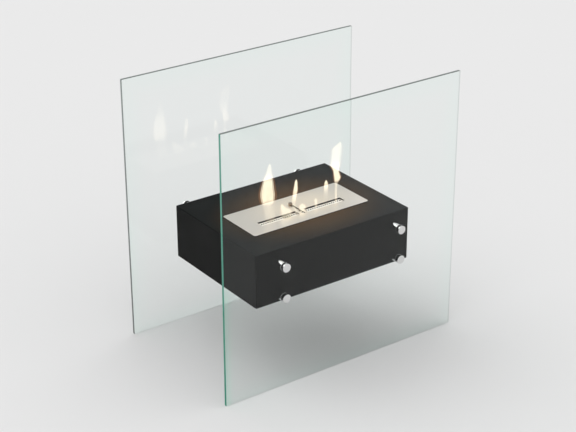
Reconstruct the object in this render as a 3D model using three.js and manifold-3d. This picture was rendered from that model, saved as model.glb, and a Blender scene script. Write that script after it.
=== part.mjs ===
// Freestanding bioethanol fireplace: a black firebox held between two glass panels by eight
// glass standoffs, with a lift-out stainless fuel block that has a sliding shutter.
// Millimetres. +X is the object's width, -Y its front, +Z up. The origin is on the floor,
// in the middle between the two panels.

import * as THREE from 'three';
import { mergeVertices } from 'three/addons/utils/BufferGeometryUtils.js';
import Module from 'manifold-3d';

const wasm = await Module();
wasm.setup();

// ---------------------------------------------------------------- driving dimensions

// Glass panels
const GLASS_WIDTH = 600;
const GLASS_HEIGHT = 600;
const GLASS_THICKNESS = 6;
const GLASS_CORNER_RADIUS = 2;
const GLASS_ARRIS = 0.5;

// Firebox: a folded steel shell with a screwed base
const BOX_WIDTH = 400;
const BOX_DEPTH = 300;
const BOX_HEIGHT = 120;
const BOX_FLOOR_CLEARANCE = 180;
const BOX_SHEET = 2;
const BOX_CORNER_RADIUS = 3;
const BOX_EDGE_RADIUS = 1.5;
const BASE_SHEET = 2;
const BASE_FLANGE_WIDTH = 16;
const BASE_FLANGE_SHEET = 2;
const BASE_SCREW_RADIUS = 2;
const BASE_SCREW_LENGTH = 9;
const BASE_SCREW_HEAD_RADIUS = 4;
const BASE_SCREW_HEAD_HEIGHT = 2.4;
const BASE_SCREW_END_MARGIN = 50;

// Glass standoffs: four on the front of the firebox and four on the back
const STANDOFF_END_MARGIN = 50;
const STANDOFF_EDGE_MARGIN = 25;
const BARREL_RADIUS = 9.5;
const BARREL_LENGTH = 30;
const BARREL_CHAMFER = 0.6;
const STUD_RADIUS = 4;
const STUD_ENGAGEMENT = 11;
const CAP_THICKNESS = 4;
const CAP_CHAMFER = 0.8;
const GASKET_THICKNESS = 1;
const GASKET_INSET = 0.5;
const COLLAR_WALL = 1.6;
const BOX_SCREW_ENGAGEMENT = 12;
const BOX_SCREW_HEAD_RADIUS = 7.5;
const BOX_SCREW_HEAD_HEIGHT = 4.4;
const HEX_SOCKET_RADIUS = 2.8;
const HEX_SOCKET_DEPTH = 2.4;

// Fuel block
const PLATE_LENGTH = 300;
const PLATE_DEPTH = 120;
const PLATE_SHEET = 1.5;
const PLATE_CORNER_RADIUS = 5;
const PLATE_FORWARD_OFFSET = 15;
const PLATE_OVERLAP = 6.5;
const TANK_HEIGHT = 60;
const TANK_SHEET = 1;
const TANK_CORNER_RADIUS = 8;
const TANK_BOTTOM_RADIUS = 3;
const SLOT_LENGTH = 98;
const SLOT_WIDTH = 18;
const SLOT_CORNER_RADIUS = 1;
const SLOT_BRIDGE = 22;
const SLOT_FRONT_MARGIN = 32.5;
const GUIDE_LENGTH = 55.5;
const GUIDE_FRONT_REACH = 2;

// Sliding shutter under the burner plate
const SHUTTER_SHEET = 1;
const SHUTTER_LAP = 4;
const SHUTTER_BACK_LAP = 1.5;
const SHUTTER_PARK_MARGIN = 1;
const RAIL_SHEET = 1;
const RAIL_FLANGE = 8;
const KNOB_STEM_RADIUS = 3;
const KNOB_RADIUS = 4.5;
const KNOB_HEIGHT = 4;
const KNOB_PIN_RADIUS = 1.5;

// Clearances
const SEAT_GAP = 0.3;
const SLIDE_GAP = 0.3;
const BORE_CLEARANCE = 0.4;
const DROP_IN_CLEARANCE = 1.5;
const GUIDE_CLEARANCE = 0.5;
const WOOL_CLEARANCE = 0.5;

// Facets round a full turn
const STANDOFF_FACETS = 24;
const GASKET_FACETS = 16;
const SCREW_FACETS = 12;
const HOLE_FACETS = 24;
const CORNER_STEPS = 4;

// ---------------------------------------------------------------- derived places

const boxBottom = BOX_FLOOR_CLEARANCE;
const boxTop = boxBottom + BOX_HEIGHT;
const boxFace = BOX_DEPTH / 2;
const boxInnerFace = boxFace - BOX_SHEET;
const baseScrewX = BOX_WIDTH / 2 - BOX_SHEET - BASE_FLANGE_WIDTH / 2;
const baseScrewY = BOX_DEPTH / 2 - BASE_SCREW_END_MARGIN;
const baseScrewSites = [
  [-baseScrewX, -baseScrewY],
  [baseScrewX, -baseScrewY],
  [-baseScrewX, baseScrewY],
  [baseScrewX, baseScrewY],
];

// Distances outward from the centre, along the axis of a standoff
const barrelEnd = boxFace + BARREL_LENGTH;
const glassInner = barrelEnd + GASKET_THICKNESS;
const glassOuter = glassInner + GLASS_THICKNESS;
const capSeat = glassOuter + GASKET_THICKNESS;
const collarRadius = STUD_RADIUS + BORE_CLEARANCE + COLLAR_WALL;
const glassHoleRadius = collarRadius + BORE_CLEARANCE;
const studBoreRadius = STUD_RADIUS + BORE_CLEARANCE;

const standoffX = BOX_WIDTH / 2 - STANDOFF_END_MARGIN;
const standoffLowZ = boxBottom + STANDOFF_EDGE_MARGIN;
const standoffHighZ = boxTop - STANDOFF_EDGE_MARGIN;
const standoffSites = [
  { row: 'upper', side: 'left', x: -standoffX, z: standoffHighZ },
  { row: 'upper', side: 'right', x: standoffX, z: standoffHighZ },
  { row: 'lower', side: 'left', x: -standoffX, z: standoffLowZ },
  { row: 'lower', side: 'right', x: standoffX, z: standoffLowZ },
];

const plateY = -PLATE_FORWARD_OFFSET;
const plateTop = boxTop + PLATE_SHEET;
const tankLength = PLATE_LENGTH - 2 * (PLATE_OVERLAP + DROP_IN_CLEARANCE);
const tankDepth = PLATE_DEPTH - 2 * (PLATE_OVERLAP + DROP_IN_CLEARANCE);
const slotX = (SLOT_BRIDGE + SLOT_LENGTH) / 2;
const slotFront = plateY - PLATE_DEPTH / 2 + SLOT_FRONT_MARGIN;
const slotY = slotFront + SLOT_WIDTH / 2;
const slotOuterEnd = slotX + SLOT_LENGTH / 2;

// The shutter hangs between the plate and the lips of its two rails
const shutterTop = boxTop - SLIDE_GAP;
const shutterBottom = shutterTop - SHUTTER_SHEET;
const lipTop = shutterBottom - SLIDE_GAP;
const lipBottom = lipTop - RAIL_SHEET;
const shutterHalfLength = slotOuterEnd + SHUTTER_LAP;
const railWebInner = shutterHalfLength + SLIDE_GAP;
const railWebOuter = railWebInner + RAIL_SHEET;
const lipInner = slotOuterEnd + GUIDE_CLEARANCE;

// Front to back: parked, the shutter clears the slots; pulled forward, it covers every opening
const guideRadius = KNOB_STEM_RADIUS + GUIDE_CLEARANCE;
const guideFront = slotFront - GUIDE_FRONT_REACH;
const guideBack = guideFront + GUIDE_LENGTH;
const shutterTravel = SHUTTER_LAP + SLOT_WIDTH + SHUTTER_PARK_MARGIN;
const closedFront = slotFront - SHUTTER_LAP;
const parkedFront = closedFront + shutterTravel;
const parkedBack = guideBack + SHUTTER_BACK_LAP + shutterTravel;
const knobY = guideBack - guideRadius;

// ---------------------------------------------------------------- materials

const finish = (color, metalness, roughness, extra = {}) => new THREE.MeshStandardMaterial({
  color, metalness, roughness, ...extra,
});
const glassFinish = () => finish(0xd8ebe6, 0, 0.03, { transparent: true, opacity: 0.3 });
const blackFinish = () => finish(0x2b2a29, 0.1, 0.5);
const brushedFinish = () => finish(0xc9c5bf, 1, 0.32);
const polishedFinish = () => finish(0xd6d8d9, 1, 0.08);
const screwFinish = () => finish(0x9a9ca0, 1, 0.3);
const gasketFinish = () => finish(0x1a1b1c, 0, 0.6);
const woolFinish = () => finish(0xf1efe9, 0, 0.95);

// ---------------------------------------------------------------- geometry helpers

function solidOf(geometry) {
  const bare = geometry.clone();
  bare.deleteAttribute('normal');
  bare.deleteAttribute('uv');
  const merged = mergeVertices(bare, 1e-4);
  return new wasm.Manifold(new wasm.Mesh({
    numProp: 3,
    vertProperties: new Float32Array(merged.attributes.position.array),
    triVerts: new Uint32Array(merged.index.array),
  }));
}

function geometryOf(solid) {
  const mesh = solid.getMesh();
  const geometry = new THREE.BufferGeometry();
  geometry.setAttribute('position', new THREE.BufferAttribute(new Float32Array(mesh.vertProperties), 3));
  geometry.setIndex(new THREE.BufferAttribute(new Uint32Array(mesh.triVerts), 1));
  geometry.computeVertexNormals();
  return geometry;
}

function cut(body, tools) {
  const remaining = tools.reduce((solid, tool) => solid.subtract(solidOf(tool)), solidOf(body));
  return geometryOf(remaining);
}

// Box given by its limits along each axis
function span([x0, x1], [y0, y1], [z0, z1]) {
  const box = new THREE.BoxGeometry(x1 - x0, y1 - y0, z1 - z0);
  return box.translate((x0 + x1) / 2, (y0 + y1) / 2, (z0 + z1) / 2);
}

function roundedRect(width, height, radius) {
  const shape = new THREE.Shape();
  const x = width / 2 - radius;
  const y = height / 2 - radius;
  shape.absarc(x, -y, radius, -Math.PI / 2, 0, false);
  shape.absarc(x, y, radius, 0, Math.PI / 2, false);
  shape.absarc(-x, y, radius, Math.PI / 2, Math.PI, false);
  shape.absarc(-x, -y, radius, Math.PI, 1.5 * Math.PI, false);
  shape.closePath();
  return shape;
}

// Upright block with a rounded outline, standing on bottom
function roundedBlock(width, depth, radius, bottom, top) {
  const block = new THREE.ExtrudeGeometry(roundedRect(width, depth, radius), {
    depth: top - bottom, curveSegments: CORNER_STEPS, bevelEnabled: false,
  });
  return block.translate(0, 0, bottom);
}

// Block for pressed sheet: rounded uprights and a rounded bottom, and a top past the given one
function pressedBlock(width, depth, radius, bottomRadius, bottom, top) {
  const block = new THREE.ExtrudeGeometry(roundedRect(width, depth, radius), {
    depth: top - bottom,
    curveSegments: CORNER_STEPS,
    bevelThickness: bottomRadius,
    bevelSize: bottomRadius,
    bevelOffset: -bottomRadius,
    bevelSegments: CORNER_STEPS,
  });
  return block.translate(0, 0, bottom + bottomRadius);
}

// Revolved piece whose profile of [radius, distance outward] pairs runs along +Y
function turned(profile, facets) {
  const points = profile.map(([radius, along]) => new THREE.Vector2(radius, along));
  return new THREE.LatheGeometry(points, facets);
}

// Cylinder along Y or Z that cuts a hole
function holeAlongY(radius, x, z, y0, y1) {
  const drill = new THREE.CylinderGeometry(radius, radius, y1 - y0, HOLE_FACETS);
  return drill.translate(x, (y0 + y1) / 2, z);
}

function holeAlongZ(radius, x, y, z0, z1) {
  const drill = new THREE.CylinderGeometry(radius, radius, z1 - z0, HOLE_FACETS);
  return drill.rotateX(Math.PI / 2).translate(x, y, (z0 + z1) / 2);
}

function named(name, geometry, material) {
  const mesh = new THREE.Mesh(geometry, material);
  mesh.name = name;
  return mesh;
}

// ---------------------------------------------------------------- glass panels

// The panel stands on the floor on its lower edge; its edges carry a small ground arris.
function glassPanel(name, direction) {
  const outline = roundedRect(GLASS_WIDTH, GLASS_HEIGHT, GLASS_CORNER_RADIUS);
  const sheet = new THREE.ExtrudeGeometry(outline, {
    depth: GLASS_THICKNESS - 2 * GLASS_ARRIS,
    curveSegments: CORNER_STEPS,
    bevelThickness: GLASS_ARRIS,
    bevelSize: GLASS_ARRIS,
    bevelOffset: -GLASS_ARRIS,
    bevelSegments: 1,
  });
  sheet.rotateX(Math.PI / 2).translate(0, GLASS_THICKNESS - GLASS_ARRIS, 0);
  const lift = GLASS_HEIGHT / 2;
  const holes = standoffSites.map(({ x, z }) => (
    holeAlongY(glassHoleRadius, x, z - lift, -GLASS_THICKNESS, 2 * GLASS_THICKNESS)
  ));
  const panel = named(name, cut(sheet, holes), glassFinish());
  panel.position.set(0, direction > 0 ? glassInner : -glassOuter, lift);
  return panel;
}

// ---------------------------------------------------------------- firebox

// Folded shell: top and four sides, with return flanges that the base is screwed to
function boxShell() {
  const outline = roundedRect(BOX_WIDTH, BOX_DEPTH, BOX_CORNER_RADIUS);
  const block = new THREE.ExtrudeGeometry(outline, {
    depth: BOX_HEIGHT,
    curveSegments: CORNER_STEPS,
    bevelThickness: BOX_EDGE_RADIUS,
    bevelSize: BOX_EDGE_RADIUS,
    bevelOffset: -BOX_EDGE_RADIUS,
    bevelSegments: 3,
  });
  block.translate(0, 0, boxTop - BOX_EDGE_RADIUS - BOX_HEIGHT);
  const innerX = BOX_WIDTH / 2 - BOX_SHEET;
  const flangeBottom = boxBottom + BASE_SHEET;
  const flangeTop = flangeBottom + BASE_FLANGE_SHEET;
  const below = boxBottom - BOX_HEIGHT;
  const inner = [-innerX, innerX];
  const innerDepth = [-boxInnerFace, boxInnerFace];
  const throatX = innerX - BASE_FLANGE_WIDTH;
  const throatY = boxInnerFace - BASE_FLANGE_WIDTH;
  const cutOut = roundedBlock(
    PLATE_LENGTH - 2 * PLATE_OVERLAP,
    PLATE_DEPTH - 2 * PLATE_OVERLAP,
    TANK_CORNER_RADIUS + DROP_IN_CLEARANCE,
    boxTop - 2 * BOX_SHEET,
    boxTop + BOX_SHEET,
  );
  const screwHoles = standoffSites.flatMap(({ x, z }) => [
    holeAlongY(studBoreRadius, x, z, boxInnerFace - BOX_SHEET, boxFace + BOX_SHEET),
    holeAlongY(studBoreRadius, x, z, -boxFace - BOX_SHEET, -boxInnerFace + BOX_SHEET),
  ]);
  const flangeHoles = baseScrewSites.map(([x, y]) => (
    holeAlongZ(BASE_SCREW_RADIUS + BORE_CLEARANCE, x, y, boxBottom, flangeTop + BASE_SHEET)
  ));
  const shell = cut(block, [
    span([-BOX_WIDTH, BOX_WIDTH], [-BOX_DEPTH, BOX_DEPTH], [below - BOX_HEIGHT, boxBottom]),
    span(inner, innerDepth, [flangeTop, boxTop - BOX_SHEET]),
    span([-throatX, throatX], [-throatY, throatY], [flangeBottom - BASE_SHEET, flangeTop + BASE_SHEET]),
    span(inner, innerDepth, [boxBottom - BASE_SHEET, flangeBottom]),
    cutOut.translate(0, plateY, 0),
    ...screwHoles,
    ...flangeHoles,
  ]);
  return named('firebox_shell', shell, blackFinish());
}

function boxBase() {
  const x = BOX_WIDTH / 2 - BOX_SHEET - SEAT_GAP;
  const y = boxInnerFace - SEAT_GAP;
  const plate = span([-x, x], [-y, y], [boxBottom, boxBottom + BASE_SHEET]);
  const drillEnds = [boxBottom - BASE_SHEET, boxBottom + 2 * BASE_SHEET];
  const holes = baseScrewSites.map(([screwX, screwY]) => (
    holeAlongZ(BASE_SCREW_RADIUS + BORE_CLEARANCE, screwX, screwY, ...drillEnds)
  ));
  return named('firebox_base', cut(plate, holes), blackFinish());
}

// Pan-head screw, head down, driven up through the base into a flange
function baseScrew(name, [x, y]) {
  const crown = BASE_SCREW_HEAD_HEIGHT / 3;
  const profile = [
    [0, -BASE_SCREW_HEAD_HEIGHT],
    [BASE_SCREW_HEAD_RADIUS - crown, -BASE_SCREW_HEAD_HEIGHT],
    [BASE_SCREW_HEAD_RADIUS, -BASE_SCREW_HEAD_HEIGHT + crown],
    [BASE_SCREW_HEAD_RADIUS, 0],
    [BASE_SCREW_RADIUS, 0],
    [BASE_SCREW_RADIUS, BASE_SCREW_LENGTH],
    [0, BASE_SCREW_LENGTH],
  ];
  const screw = named(name, turned(profile, SCREW_FACETS).rotateX(Math.PI / 2), screwFinish());
  screw.position.set(x, y, boxBottom);
  return screw;
}

// ---------------------------------------------------------------- glass standoffs

// Every profile of a standoff is drawn outward from the middle of the firebox.
function barrel() {
  const outer = BARREL_RADIUS;
  return turned([
    [studBoreRadius, boxFace],
    [outer - BARREL_CHAMFER, boxFace],
    [outer, boxFace + BARREL_CHAMFER],
    [outer, barrelEnd - BARREL_CHAMFER],
    [outer - BARREL_CHAMFER, barrelEnd],
    [studBoreRadius, barrelEnd],
    [studBoreRadius, boxFace],
  ], STANDOFF_FACETS);
}

// Washer that keeps the barrel off the glass, with a collar that lines the hole
function innerGasket() {
  const outer = BARREL_RADIUS - GASKET_INSET;
  return turned([
    [studBoreRadius, barrelEnd],
    [outer, barrelEnd],
    [outer, glassInner],
    [collarRadius, glassInner],
    [collarRadius, glassOuter - GASKET_INSET],
    [studBoreRadius, glassOuter - GASKET_INSET],
    [studBoreRadius, barrelEnd],
  ], GASKET_FACETS);
}

function outerGasket() {
  const outer = BARREL_RADIUS - GASKET_INSET;
  return turned([
    [studBoreRadius, glassOuter],
    [outer, glassOuter],
    [outer, capSeat],
    [studBoreRadius, capSeat],
    [studBoreRadius, glassOuter],
  ], GASKET_FACETS);
}

// Cap and its stud are one piece, screwed through the glass into the barrel
function capWithStud() {
  const studTip = barrelEnd - STUD_ENGAGEMENT;
  const face = capSeat + CAP_THICKNESS;
  return turned([
    [0, studTip],
    [STUD_RADIUS, studTip],
    [STUD_RADIUS, capSeat],
    [BARREL_RADIUS, capSeat],
    [BARREL_RADIUS, face - CAP_CHAMFER],
    [BARREL_RADIUS - CAP_CHAMFER, face],
    [0, face],
  ], STANDOFF_FACETS);
}

// Button-head screw from inside the firebox, with a hexagon socket
function boxScrew() {
  const headBack = boxInnerFace - BOX_SCREW_HEAD_HEIGHT;
  const dome = BOX_SCREW_HEAD_HEIGHT / 2;
  const screw = turned([
    [0, headBack],
    [BOX_SCREW_HEAD_RADIUS - dome, headBack],
    [BOX_SCREW_HEAD_RADIUS, headBack + dome],
    [BOX_SCREW_HEAD_RADIUS, boxInnerFace],
    [STUD_RADIUS, boxInnerFace],
    [STUD_RADIUS, boxFace + BOX_SCREW_ENGAGEMENT],
    [0, boxFace + BOX_SCREW_ENGAGEMENT],
  ], SCREW_FACETS);
  const socket = new THREE.CylinderGeometry(HEX_SOCKET_RADIUS, HEX_SOCKET_RADIUS, 2 * HEX_SOCKET_DEPTH, 6);
  return cut(screw, [socket.translate(0, headBack, 0)]);
}

// direction is 1 at the back of the firebox and -1 at its front
function standoff(prefix, direction, { x, z }) {
  const group = new THREE.Group();
  group.add(
    named(`${prefix}_barrel`, barrel(), polishedFinish()),
    named(`${prefix}_inner_gasket`, innerGasket(), gasketFinish()),
    named(`${prefix}_outer_gasket`, outerGasket(), gasketFinish()),
    named(`${prefix}_cap`, capWithStud(), polishedFinish()),
    named(`${prefix}_screw`, boxScrew(), screwFinish()),
  );
  group.rotation.z = direction > 0 ? 0 : Math.PI;
  group.position.set(x, 0, z);
  return group;
}

// ---------------------------------------------------------------- fuel block

// Drop-in plate that rests on the firebox, with two burning slots and, across the bridge
// between them, the guide slot that the knob runs in
function burnerPlate() {
  const plate = roundedBlock(PLATE_LENGTH, PLATE_DEPTH, PLATE_CORNER_RADIUS, boxTop, plateTop);
  const cutBottom = boxTop - PLATE_SHEET;
  const cutTop = plateTop + PLATE_SHEET;
  const slots = [-slotX, slotX].map((x) => {
    const slot = roundedBlock(SLOT_LENGTH, SLOT_WIDTH, SLOT_CORNER_RADIUS, cutBottom, cutTop);
    return slot.translate(x, slotY, 0);
  });
  const guide = roundedBlock(2 * guideRadius, GUIDE_LENGTH, guideRadius, cutBottom, cutTop);
  guide.translate(0, (guideBack + guideFront) / 2, 0);
  return named('burner_plate', cut(plate.translate(0, plateY, 0), [...slots, guide]), brushedFinish());
}

// Open-topped pressed tray under the plate that holds the wool and the fuel
function fuelTank() {
  const bottom = boxTop - TANK_HEIGHT;
  const tray = pressedBlock(tankLength, tankDepth, TANK_CORNER_RADIUS, TANK_BOTTOM_RADIUS, bottom, boxTop);
  const trim = span([-tankLength, tankLength], [-tankDepth, tankDepth], [boxTop, boxTop + TANK_HEIGHT]);
  const hollow = pressedBlock(
    tankLength - 2 * TANK_SHEET,
    tankDepth - 2 * TANK_SHEET,
    TANK_CORNER_RADIUS - TANK_SHEET,
    TANK_BOTTOM_RADIUS - TANK_SHEET,
    bottom + TANK_SHEET,
    boxTop,
  );
  const tank = named('fuel_tank', cut(tray, [trim, hollow]), brushedFinish());
  tank.position.y = plateY;
  return tank;
}

// Folded rail: a flange under the plate, a web, and a lip that one end of the shutter slides on
function shutterRail(name, direction) {
  const profile = new THREE.Shape();
  const flangeEnd = railWebInner + RAIL_FLANGE;
  profile.moveTo(lipInner, lipBottom);
  profile.lineTo(railWebOuter, lipBottom);
  profile.lineTo(railWebOuter, boxTop - RAIL_SHEET);
  profile.lineTo(flangeEnd, boxTop - RAIL_SHEET);
  profile.lineTo(flangeEnd, boxTop);
  profile.lineTo(railWebInner, boxTop);
  profile.lineTo(railWebInner, lipTop);
  profile.lineTo(lipInner, lipTop);
  profile.closePath();
  const front = closedFront - SLIDE_GAP;
  const back = parkedBack + SLIDE_GAP;
  const rail = new THREE.ExtrudeGeometry(profile, { depth: back - front, bevelEnabled: false });
  rail.rotateX(Math.PI / 2);
  const mesh = named(name, rail, brushedFinish());
  mesh.position.y = direction > 0 ? back : front;
  mesh.rotation.z = direction > 0 ? 0 : Math.PI;
  return mesh;
}

// Block of absorbent wool, rounded into the tray's bottom and stepped down under the rails
function woolPad() {
  const bottom = boxTop - TANK_HEIGHT + TANK_SHEET;
  const outer = tankLength / 2 - TANK_SHEET - WOOL_CLEARANCE;
  const step = lipInner - WOOL_CLEARANCE;
  const shoulder = lipBottom - WOOL_CLEARANCE;
  const depth = tankDepth - 2 * TANK_CORNER_RADIUS;
  const profile = new THREE.Shape();
  const radius = TANK_BOTTOM_RADIUS;
  profile.moveTo(-outer + radius, bottom);
  profile.absarc(outer - radius, bottom + radius, radius, -Math.PI / 2, 0, false);
  profile.lineTo(outer, shoulder);
  profile.lineTo(step, shoulder);
  profile.lineTo(step, lipTop);
  profile.lineTo(-step, lipTop);
  profile.lineTo(-step, shoulder);
  profile.lineTo(-outer, shoulder);
  profile.absarc(-outer + radius, bottom + radius, radius, Math.PI, 1.5 * Math.PI, false);
  const pad = new THREE.ExtrudeGeometry(profile, { depth, curveSegments: CORNER_STEPS, bevelEnabled: false });
  const mesh = named('wool_pad', pad.rotateX(Math.PI / 2), woolFinish());
  mesh.position.y = plateY + depth / 2;
  return mesh;
}

// ---------------------------------------------------------------- sliding shutter

// Flat lid, parked behind the burning slots
function shutterLid() {
  const x = [-shutterHalfLength, shutterHalfLength];
  const lid = span(x, [parkedFront, parkedBack], [shutterBottom, shutterTop]);
  const drillEnds = [shutterBottom - SHUTTER_SHEET, shutterTop + SHUTTER_SHEET];
  const hole = holeAlongZ(KNOB_PIN_RADIUS + BORE_CLEARANCE, 0, knobY, ...drillEnds);
  return named('shutter_lid', cut(lid, [hole]), brushedFinish());
}

// Knob whose stem runs in the guide slot and stands on the lid, with a pin riveted through it
function shutterKnob() {
  const headBottom = plateTop + SLIDE_GAP;
  const headTop = headBottom + KNOB_HEIGHT;
  const round = KNOB_HEIGHT / 4;
  const knob = turned([
    [0, shutterBottom],
    [KNOB_PIN_RADIUS, shutterBottom],
    [KNOB_PIN_RADIUS, shutterTop],
    [KNOB_STEM_RADIUS, shutterTop],
    [KNOB_STEM_RADIUS, headBottom],
    [KNOB_RADIUS, headBottom],
    [KNOB_RADIUS, headTop - round],
    [KNOB_RADIUS - round, headTop],
    [0, headTop],
  ], STANDOFF_FACETS);
  const mesh = named('shutter_knob', knob.rotateX(Math.PI / 2), polishedFinish());
  mesh.position.y = knobY;
  return mesh;
}

// ---------------------------------------------------------------- assembly

const fireplace = new THREE.Group();
fireplace.name = 'bioethanol_fireplace';
fireplace.add(glassPanel('glass_front', -1), glassPanel('glass_back', 1));
fireplace.add(boxShell(), boxBase());
baseScrewSites.forEach((site, index) => {
  fireplace.add(baseScrew(`base_screw_${index + 1}`, site));
});
for (const [face, direction] of [['front', -1], ['back', 1]]) {
  for (const site of standoffSites) {
    fireplace.add(standoff(`standoff_${face}_${site.row}_${site.side}`, direction, site));
  }
}
fireplace.add(burnerPlate(), fuelTank());
fireplace.add(shutterRail('shutter_rail_left', -1), shutterRail('shutter_rail_right', 1));
fireplace.add(woolPad(), shutterLid(), shutterKnob());

export default fireplace;
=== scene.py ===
"""The looks of a freestanding bioethanol fireplace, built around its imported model.

Metres, in the model's own frame: +X is the width, -Y the front and +Z up, and the origin
is on the floor between the two glass panels.
"""

import math

import bmesh
import bpy
from mathutils import Matrix, Vector, noise


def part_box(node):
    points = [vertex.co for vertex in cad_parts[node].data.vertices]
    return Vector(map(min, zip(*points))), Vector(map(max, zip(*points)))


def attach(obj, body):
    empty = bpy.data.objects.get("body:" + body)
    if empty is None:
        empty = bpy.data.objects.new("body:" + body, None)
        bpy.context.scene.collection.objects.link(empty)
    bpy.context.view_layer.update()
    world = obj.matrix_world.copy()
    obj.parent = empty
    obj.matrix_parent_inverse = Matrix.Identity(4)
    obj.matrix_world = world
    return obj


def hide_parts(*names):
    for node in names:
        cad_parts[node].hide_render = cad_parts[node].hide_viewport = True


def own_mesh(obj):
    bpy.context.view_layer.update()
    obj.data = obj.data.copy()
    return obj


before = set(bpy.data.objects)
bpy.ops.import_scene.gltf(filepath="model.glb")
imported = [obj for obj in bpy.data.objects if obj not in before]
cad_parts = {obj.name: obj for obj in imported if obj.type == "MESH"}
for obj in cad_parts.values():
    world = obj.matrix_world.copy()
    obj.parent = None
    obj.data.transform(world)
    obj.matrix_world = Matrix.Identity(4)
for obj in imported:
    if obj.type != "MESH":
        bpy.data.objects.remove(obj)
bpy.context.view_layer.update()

MM = 0.001

# ---------------------------------------------------------------- sizes

# Standoffs, knob and screws
TURNED_SEGMENTS = 64
SCREW_SEGMENTS = 36
STUD_BORE_RADIUS = 4.4 * MM
COLLAR_RADIUS = 6.0 * MM
RIM_ROUND = 0.45 * MM
SMALL_ROUND = 0.2 * MM
STUD_RADIUS = 4.0 * MM
SHELL_SHEET = 2.0 * MM
SOCKET_RADIUS = 2.8 * MM
SOCKET_DEPTH = 2.4 * MM
BASE_SOCKET_RADIUS = 1.7 * MM
BASE_SOCKET_DEPTH = 1.3 * MM
BASE_HEAD_ROUND = 0.8 * MM
SCREW_SHANK_RADIUS = 2.0 * MM
KNOB_STEM_RADIUS = 3.0 * MM
KNOB_PIN_RADIUS = 1.5 * MM
KNOB_HEAD_RADIUS = 4.5 * MM
KNOB_HEAD_GAP = 0.3 * MM

# Sheet metal
SHEET_ROUND = 0.25 * MM
THIN_SHEET_ROUND = 0.12 * MM
TANK_SHEET = 1.0 * MM
TANK_CORNER_RADIUS = 8.0 * MM
TANK_BOTTOM_RADIUS = 3.0 * MM

# Wool. A groove runs under both burning slots and is scorched in specks, and a painted shade darkens
# the wool along the back of the slots, where the plate's far edge shades it.
WOOL_CELL = 4.0 * MM
WOOL_LUMP_DEPTH = 0.8 * MM
WOOL_LUMP_SIZE = 7.0 * MM
GROOVE_Y = -30.4 * MM
GROOVE_HALF_WIDTH = 3.0 * MM
GROOVE_DEPTH = 3.0 * MM
GROOVE_CUTS = 3
SPECK_SPACING = 5.6 * MM
SLOT_MIDDLE_Y = -33.5 * MM
SLOT_BACK_Y = -24.5 * MM
BACK_SHADE_WIDTH = 1.0 * MM

# Flames. Of each: the height above the wool, the middle and the half width of its stations, in
# millimetres, the heights where its clear foot ends and its body is full, how much shows of that
# foot, the heights between which it thins, the height above which it burns palest, and its density.
FLAMES = {
    "flame_large": {
        "stations": [(0, -80, 11), (29, -83.7, 13.5), (46, -86.6, 15.5), (64, -87.8, 18.2),
                     (76, -88.2, 16.9), (98, -86.2, 12.4), (120, -83.1, 6.4), (131, -82.1, 2.9),
                     (135, -81.7, 0)],
        "clear_to": (40, 50), "foot": 0.22, "thins": (90, 116), "pale_from": 90, "density": 1.0},
    "flame_tall": {
        "stations": [(0, 92, 2.4), (28, 91.9, 3.3), (44, 92.4, 4), (56, 95.4, 8.8), (67, 93, 7.9),
                     (76, 91.2, 7.6), (88, 89.4, 12.5), (111, 92, 13.6), (125, 93.6, 13),
                     (133, 99.3, 7), (140, 102.6, 0)],
        "clear_to": (42, 52), "foot": 0.50, "thins": (74, 100), "pale_from": 83, "density": 1.05},
    "flame_slim": {
        "stations": [(0, -14, 3), (10, -15.6, 3.3), (23, -20.5, 4.5), (46, -18, 5.5), (57, -15.9, 5.6),
                     (68, -14.8, 4.2), (76, -14.3, 3.1), (82, -13.8, 0)],
        "clear_to": (12, 60), "foot": 0.22, "thins": (90, 100), "pale_from": 60, "density": 1.0},
    "flame_small": {
        "stations": [(0, 64, 6), (24, 63.8, 6.6), (36, 65, 5.8), (52, 65.2, 4.6), (60, 65.3, 0)],
        "clear_to": (16, 60), "foot": 0.10, "thins": (90, 100), "pale_from": 0, "density": 1.05},
    "flame_low_1": {
        "stations": [(0, -38, 14), (14, -39.9, 14.2), (21, -45.3, 9.4), (26, -49.1, 6.1), (31, -51, 3.6),
                     (35, -51.5, 0)],
        "clear_to": (0, 4), "foot": 0.10, "thins": (90, 100), "pale_from": 0, "density": 0.36},
    "flame_low_2": {
        "stations": [(0, 2.5, 3.5), (8, 2.7, 9.5), (12, 2.7, 9.5), (17, 1.9, 7), (21, 1.4, 0)],
        "clear_to": (0, 4), "foot": 0.10, "thins": (90, 100), "pale_from": 0, "density": 0.36},
    "flame_low_3": {
        "stations": [(0, 38.5, 3), (11, 38.5, 3.4), (15, 38.4, 4), (20, 37.9, 3.5), (24, 37.6, 0)],
        "clear_to": (0, 4), "foot": 0.10, "thins": (90, 100), "pale_from": 0, "density": 0.36},
}
# Nested skins, from the outside in: share of the flame's width, how much it covers, how pale it is
FLAME_SKINS = [(1.2, 0.012, 0.0), (0.94, 0.062, 1.0), (0.72, 0.066, 1.0)]
FLAME_DEPTH_SHARE = 0.6
FLAME_RINGS = 64
FLAME_SIDES = 24
FLAME_END_FLARE = 3
FLAME_PALE_BLEND = 25.0
FLAME_YELLOW_SHARE = 0.92
FLAME_THIN_SHARE = 0.28

# ---------------------------------------------------------------- finishes

BLACK = (0.0, 0.0, 0.0, 1.0)
# The values that most of a noise texture lies between
NOISE_BAND = (0.3, 0.7)
# How far the rim of a heat tint wanders, as a share of its reach
PATCH_WANDER = 0.3

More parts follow.
